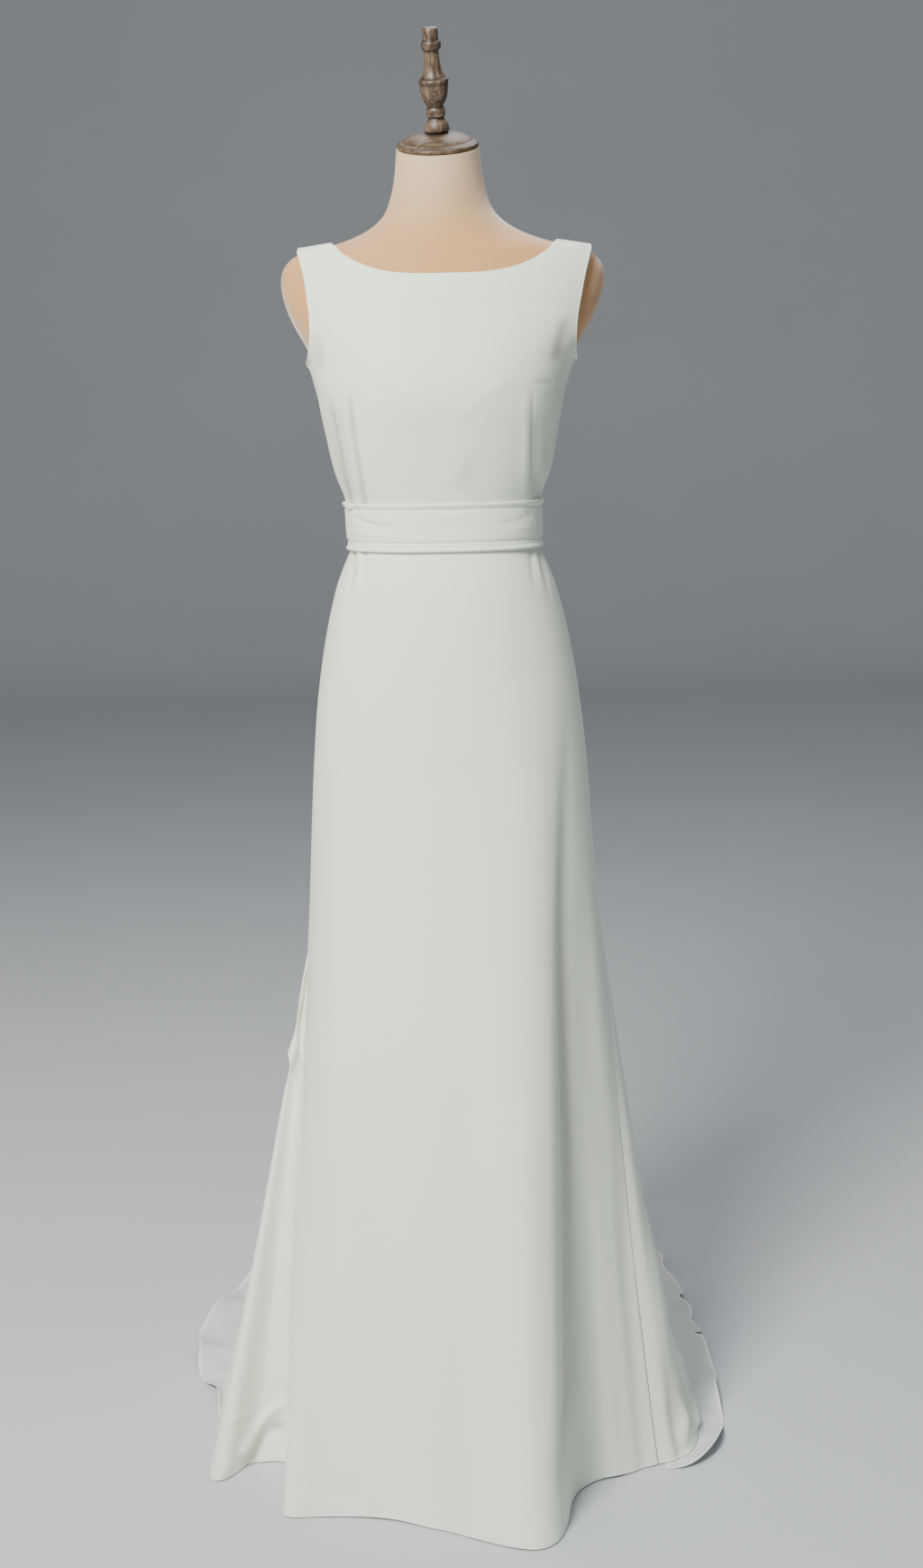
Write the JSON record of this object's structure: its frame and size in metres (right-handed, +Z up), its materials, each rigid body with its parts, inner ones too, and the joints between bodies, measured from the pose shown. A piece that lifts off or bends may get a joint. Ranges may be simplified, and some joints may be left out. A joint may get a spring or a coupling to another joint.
{
  "type": "sleeveless gown with train on a dress form",
  "caption": "Long sleeveless boat-neck gown with a belted waist and a ruffle-edged train, worn by a limbless dress form on a stand.",
  "frame": {"origin": "on the floor, at the middle of the stand's base", "axes": "+Z up along the pole, -Y out of the gown's front, +Y towards the train, +X to the wearer's left"},
  "size_m": [0.6857, 1.0782, 1.666],
  "materials": {
    "white_crepe": "smooth matte crepe",
    "form_jersey": "fine matte jersey",
    "turned_wood": "weathered, lightly waxed",
    "stand_steel": "satin"
  },
  "bodies": {
    "root": {"bodice_front": "white_crepe", "bodice_back_left": "white_crepe", "bodice_back_right": "white_crepe", "waist_belt": "white_crepe", "skirt_front": "white_crepe", "skirt_back_left": "white_crepe", "skirt_back_right": "white_crepe", "train_ruffle_left": "white_crepe", "train_ruffle_right": "white_crepe", "form_torso": "form_jersey", "neck_cap": "turned_wood", "neck_finial": "turned_wood", "stand_pole": "stand_steel", "stand_base": "stand_steel"}
  },
  "joints": []
}
